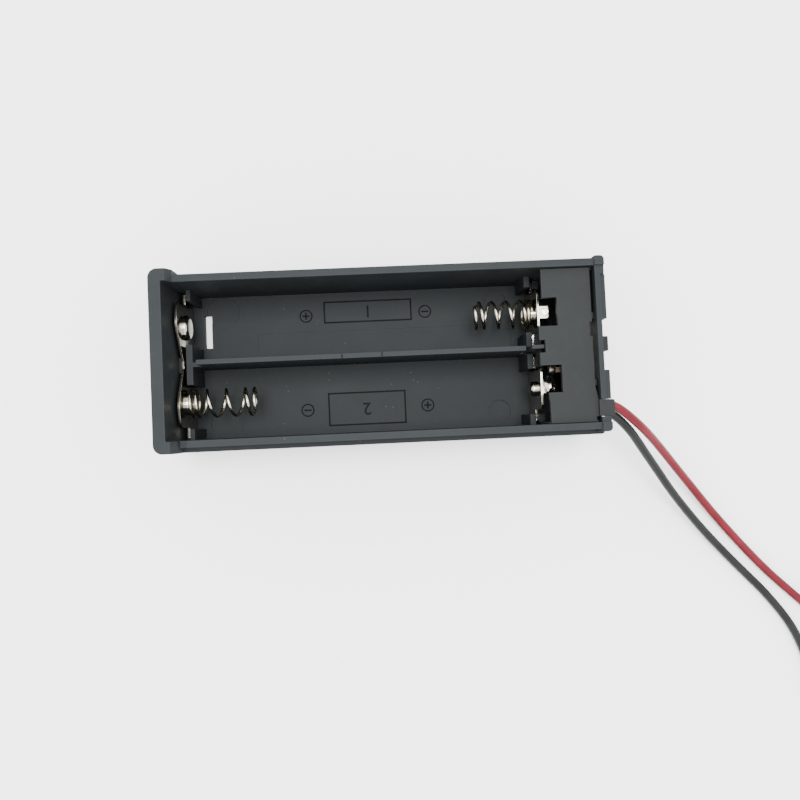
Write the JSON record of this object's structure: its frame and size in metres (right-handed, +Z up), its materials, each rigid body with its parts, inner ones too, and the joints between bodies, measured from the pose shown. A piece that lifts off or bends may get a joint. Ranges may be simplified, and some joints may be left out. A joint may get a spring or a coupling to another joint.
{
  "type": "cylindrical cell holder",
  "caption": "Open moulded holder for small cylindrical cells side by side, with spring contacts, a slide switch in its end wall and a pair of wire leads.",
  "frame": {"origin": "centre of the housing's flat base, on the surface it rests on", "axes": "+X runs along the cells from the closed end to the switch end, +Y across the bays, +Z up out of the open side"},
  "size_m": [0.1191, 0.0819, 0.0157],
  "materials": {
    "black_plastic": "moulded ABS, fine satin",
    "cover_plastic": "moulded ABS, fine satin",
    "knob_plastic": "moulded, satin",
    "nickel_sheet": "nickel-plated steel sheet",
    "nickel_wire": "nickel-plated spring wire",
    "solder": "bright solder",
    "switch_steel": "tin-plated steel",
    "switch_board": "dark pressed board",
    "tinned_brass": "tinned brass",
    "red_insulation": "soft vinyl, satin",
    "black_insulation": "soft vinyl, satin",
    "tinned_copper": "tinned copper strands"
  },
  "bodies": {
    "case": {"housing": "black_plastic", "switch_cover": "cover_plastic", "link_contact": "nickel_sheet", "negative_contact": "nickel_sheet", "positive_contact": "nickel_sheet", "positive_solder": "solder", "negative_solder": "solder", "switch_frame": "switch_steel", "switch_base": "switch_board", "switch_terminal_1": "tinned_brass", "switch_terminal_2": "tinned_brass", "switch_terminal_3": "tinned_brass", "switch_solder_jumper": "solder", "switch_solder_red": "solder", "switch_jumper": "black_insulation", "red_lead": "red_insulation", "red_coil": "red_insulation", "red_tip": "tinned_copper", "black_lead": "black_insulation", "black_coil": "black_insulation", "black_tip": "tinned_copper"},
    "slider": {"switch_slider": "knob_plastic", "switch_wiper": "tinned_brass"},
    "link_spring_coil": {"link_spring": "nickel_wire"},
    "negative_spring_coil": {"negative_spring": "nickel_wire"}
  },
  "joints": [
    {"name": "switch_slide", "type": "slide", "parent": "case", "child": "slider", "axis": [0, 1, 0], "range_m": [-0.002, 0]},
    {"name": "link_spring_press", "type": "slide", "parent": "case", "child": "link_spring_coil", "axis": [-1, 0, 0], "range_m": [0, 0.0055], "stiffness_N_per_m": 300, "deforming": ["link_spring"]},
    {"name": "negative_spring_press", "type": "slide", "parent": "case", "child": "negative_spring_coil", "axis": [1, 0, 0], "range_m": [0, 0.0045], "stiffness_N_per_m": 300, "deforming": ["negative_spring"]}
  ]
}
